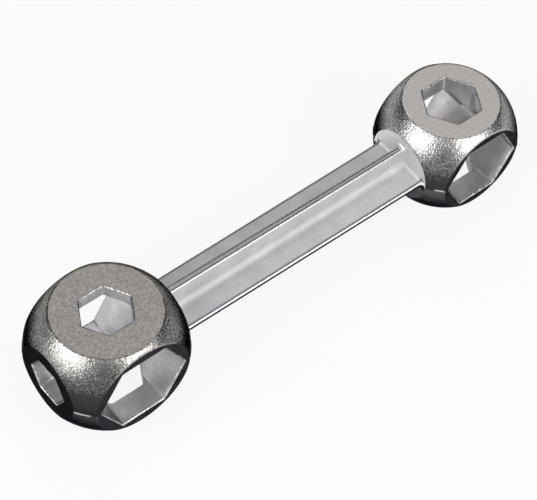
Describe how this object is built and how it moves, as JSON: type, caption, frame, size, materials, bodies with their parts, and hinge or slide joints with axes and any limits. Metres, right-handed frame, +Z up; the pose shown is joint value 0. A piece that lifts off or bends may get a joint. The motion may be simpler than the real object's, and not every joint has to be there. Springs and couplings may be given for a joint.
{
  "type": "bicycle spanner",
  "caption": "Dumbbell bicycle spanner: a ball head at each end, trimmed to flats with hexagon nut sockets of graded sizes, joined by a tapered cross-section handle.",
  "frame": {"origin": "middle of the bounding box, on the table under the tool", "axes": "+X along the handle from the large head to the small one, +Z up through the flats with the smaller sockets, -Y towards the largest sockets that show in the picture"},
  "size_m": [0.0964, 0.0198, 0.0199],
  "materials": {
    "rough_plating": "satin nickel-grey plating over a rough casting",
    "smooth_plating": "satin bright plating over a smooth casting"
  },
  "bodies": {
    "root": {"large_head": "rough_plating", "small_head": "rough_plating", "handle": "smooth_plating"}
  },
  "joints": []
}
